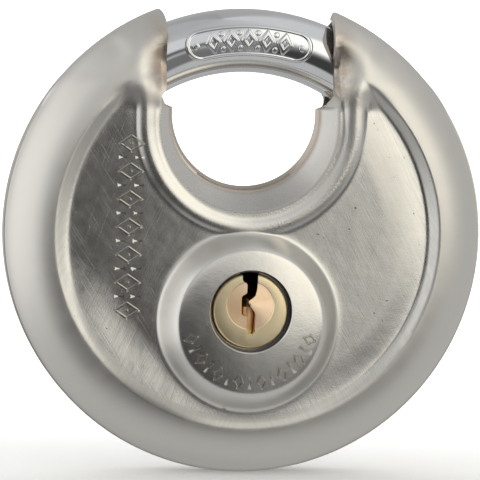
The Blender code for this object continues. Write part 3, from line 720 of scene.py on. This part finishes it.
def brass():
    mat, n = material("brass_machined", (0.80, 0.55, 0.30), 0.24)
    yb = n.sub(n.y, AXIS_Y + 0.8)
    rho = n.m("SQRT", n.add(n.mul(n.x, n.x), n.mul(yb, yb)))
    rings = n.m("SINE", n.mul(rho, 34.0))
    cloud = n.noise(n.p, 0.8, 3.0, 0.6)
    fine = n.noise(n.p, 7.0, 3.0, 0.6)
    # painted shade: the plug's walls below 8.4 mm, down in the keyway and chambers, are painted darker and more orange
    keyway_depth_shade = n.step(n.h, 10.0, 8.4)
    cone = n.mul(n.step(rho, 3.55, 3.35), n.step(n.h, 11.3, 11.2))
    col = n.mix(cloud, (0.83, 0.69, 0.43), (0.90, 0.78, 0.54))
    col = n.mix(cone, col, (0.97, 0.73, 0.50))
    col = n.mix(keyway_depth_shade, col, (0.66, 0.38, 0.11))
    # painted shade: the upper part of the keyway, below the face, is painted near black where shade falls
    keyway_slot_shade = n.mul(n.step(n.h, 10.9, 10.2), n.step(n.y, AXIS_Y + 1.5, AXIS_Y + 2.4), n.step(n.m("ABSOLUTE", n.x), 1.5, 1.3))
    col = n.mix(n.mul(keyway_slot_shade, 0.96), col, (0.03, 0.03, 0.032))
    n.feed(n.bsdf.inputs["Base Color"], col)
    n.feed(n.bsdf.inputs["Roughness"], n.add(0.26, n.mul(cloud, 0.12), n.mul(fine, 0.06)))
    n.feed(n.bsdf.inputs["Normal"], bump(n, n.add(n.mul(rings, 0.35), n.mul(fine, 0.7)), 0.0000035))
    return mat


def worked(name, a, b, rough, metal=1.0, lines=0.6, amp=0.000004, freq=2.2):
    """Turned, blanked or moulded stock: colour that varies, a directional finish and fine grain."""
    mat, n = material(name, a, rough, metal)
    cloud = n.noise(n.p, 0.5, 4.0, 0.6)
    fine = n.noise(n.p, freq * 2.5, 3.0, 0.6)
    line = n.noise(n.mapped(n.p, rot=(0, 0, 35), scale=(0.3, freq * 2, freq)), 1.0, 2.0, 0.6)
    n.feed(n.bsdf.inputs["Base Color"], n.mix(cloud, a, b))
    n.feed(n.bsdf.inputs["Roughness"], n.add(rough - 0.08, n.mul(cloud, 0.16), n.mul(fine, 0.04)))
    n.feed(n.bsdf.inputs["Normal"], bump(n, n.add(n.mul(line, lines), n.mul(fine, 0.5)), amp))
    return mat


STEEL_MAT = shell_steel()
CHROME_MAT = chrome()
BRASS_MAT = brass()
LOOK = {
    "satin_stainless": STEEL_MAT,
    "chrome_plate": CHROME_MAT,
    "brass": BRASS_MAT,
    "plain_steel": worked("plain_steel_rolled", (0.42, 0.42, 0.43), (0.54, 0.535, 0.53), 0.38),
    "hardened_steel": worked("hardened_steel_black", (0.10, 0.10, 0.11), (0.18, 0.18, 0.19), 0.34),
    "spring_steel": worked("spring_steel_drawn", (0.40, 0.38, 0.35), (0.52, 0.50, 0.47), 0.26),
    "black_nylon": worked("black_nylon_moulded", (0.012, 0.012, 0.013), (0.022, 0.022, 0.024), 0.45, metal=0.0, lines=0.15),
}
for name, node in frame["nodes"].items():
    for slot in node.material_slots:
        key = slot.material.name.split(".")[0]
        slot.material = LOOK[key]
for ob, mat in ((front, STEEL_MAT), (rear, STEEL_MAT), (bar, CHROME_MAT), (plug, BRASS_MAT)):
    ob.data.materials.clear()
    ob.data.materials.append(mat)
    for poly in ob.data.polygons:
        poly.material_index = 0


# ----------------------------------------------------------------------------------------------------------- stage
FLOOR_Z = CENTRE_Z / 1000.0 - BODY_R / 1000.0 - 0.00002


def cyclorama():
    """A plain pale floor that curves up into a backdrop far behind."""
    pts = [(-2.2, 0.0), (1.1, 0.0)]
    pts += [(1.1 + 0.6 * math.sin(math.radians(a)), 0.6 - 0.6 * math.cos(math.radians(a))) for a in range(6, 91, 6)]
    pts += [(1.7, 3.0)]
    verts, faces = [], []
    for x in (-2.6, 2.6):
        verts += [(x, y, FLOOR_Z + z) for y, z in pts]
    n = len(pts)
    faces = [(i, i + 1, n + i + 1, n + i) for i in range(n - 1)]
    mesh = bpy.data.meshes.new("studio_sweep")
    mesh.from_pydata(verts, [], faces)
    mesh.shade_smooth()
    return link(bpy.data.objects.new("studio_sweep", mesh))


sweep = cyclorama()
mat = bpy.data.materials.new("studio_paper")
mat.use_nodes = True
n = Nodes(mat.node_tree)
paper = mat.node_tree.nodes["Principled BSDF"]
pc = n.put("ShaderNodeTexCoord").outputs["Object"]
n.feed(paper.inputs["Base Color"], n.mix(n.noise(pc, 3.0, 3.0, 0.5), (0.90, 0.90, 0.895), (0.93, 0.93, 0.925)))
paper.inputs["Roughness"].default_value = 0.9
paper.inputs["Emission Color"].default_value = (1.0, 1.0, 1.0, 1.0)
pz = n.put("ShaderNodeSeparateXYZ", {"Vector": pc}).outputs[1]
# painted light: the paper glows, faintly in front of the object and more brightly from just behind it back, so the
# floor and backdrop behind read near white
n.feed(paper.inputs["Emission Strength"], n.lerp(n.step(pz, -0.02, 0.16), 0.06, 0.55))
sweep.data.materials.append(mat)
sweep.visible_glossy = False

# the studio round the object: pale walls, a dark gap where the camera stands, a strong soft box on the left, a warm
# panel at the right and a bright ceiling
world = bpy.data.worlds.new("studio")
bpy.context.scene.world = world
world.use_nodes = True
world.node_tree.nodes.clear()
n = Nodes(world.node_tree)
out = n.put("ShaderNodeOutputWorld")
back = n.put("ShaderNodeBackground")
world.node_tree.links.new(back.outputs[0], out.inputs["Surface"])
sep = n.put("ShaderNodeSeparateXYZ", {"Vector": n.put("ShaderNodeTexCoord").outputs["Generated"]})
dx, dy, dz = sep.outputs
az = n.mul(n.m("ARCTAN2", dx, n.mul(dy, -1.0)), 180 / math.pi)      # 0 toward the camera's side, + to the right
el = n.mul(n.m("ARCSINE", dz), 180 / math.pi)


def window(x, a, b, soft):
    return n.mul(n.step(x, a - soft, a + soft), n.step(x, b + soft, b - soft))


gap = n.m("MAXIMUM", n.mul(window(az, -43.0, 8.0, 5.0), window(el, -41.0, 7.0, 5.0)), n.mul(window(az, -60.0, -36.0, 5.0), window(el, -41.0, -14.0, 5.0)))
gap_right = n.mul(window(az, 8.0, 60.0, 6.0), window(el, -42.0, -8.0, 5.0))
left_box = n.mul(window(az, -135.0, -50.0, 8.0), window(el, -22.0, 42.0, 10.0))
warm = n.mul(window(az, 11.0, 62.0, 5.0), window(el, -5.0, 42.0, 7.0))
over = n.mul(window(az, -24.0, 12.0, 12.0), window(el, 7.0, 40.0, 6.0))
right_top = n.mul(n.step(az, -10.0, 40.0), n.step(az, 150.0, 110.0), n.step(el, 30.0, 50.0))
behind = n.step(n.m("ABSOLUTE", az), 135.0, 165.0)
left_top = n.mul(n.step(az, 10.0, -40.0), n.step(el, 44.0, 60.0))
level = n.lerp(n.m("MAXIMUM", gap, n.mul(gap_right, 0.72)), 0.60, 0.06)
level = n.add(level, n.mul(left_box, 0.62), n.mul(warm, 0.95), n.mul(over, 0.22), n.mul(right_top, 0.18), n.mul(left_top, -0.05), n.mul(behind, -0.1))
tint = n.mix(warm, (1.0, 1.0, 1.0), (1.0, 0.97, 0.87))
n.feed(back.inputs["Color"], tint)
n.feed(back.inputs["Strength"], level)


def area(name, pos, target, size, power, colour=(1, 1, 1)):
    light = bpy.data.lights.new(name, "AREA")
    light.shape, light.size, light.size_y = "RECTANGLE", size[0], size[1]
    light.energy, light.color = power, colour
    ob = link(bpy.data.objects.new(name, light))
    ob.location = pos
    ob.rotation_euler = (Vector(target) - Vector(pos)).to_track_quat("-Z", "Y").to_euler()
    return ob


centre = Vector((0.0, 0.0, CENTRE_Z / 1000.0))
area("back_box", (0.0, 0.7, 1.1), (0.0, 1.6, 0.1), (1.8, 0.5), 6.0).visible_glossy = False

cam = bpy.data.cameras.new("camera")
cam.lens, cam.sensor_width = 253.3, 36.0
cam.shift_x, cam.shift_y = -0.0033, -0.0163
cam.clip_start, cam.clip_end = 0.01, 20.0
camera = link(bpy.data.objects.new("camera", cam))
YAW, PITCH, ROLL, DIST = 7.53, 3.1, 1.08, 0.495
yaw, pitch = math.radians(YAW), math.radians(PITCH)
camera.location = centre + DIST * Vector((-math.sin(yaw) * math.cos(pitch), -math.cos(yaw) * math.cos(pitch), math.sin(pitch)))
camera.rotation_euler = ((centre - camera.location).to_track_quat("-Z", "Y").to_matrix() @ Matrix.Rotation(math.radians(ROLL), 3, "Z")).to_euler()
bpy.context.scene.camera = camera
bpy.context.scene.view_settings.view_transform = "Standard"
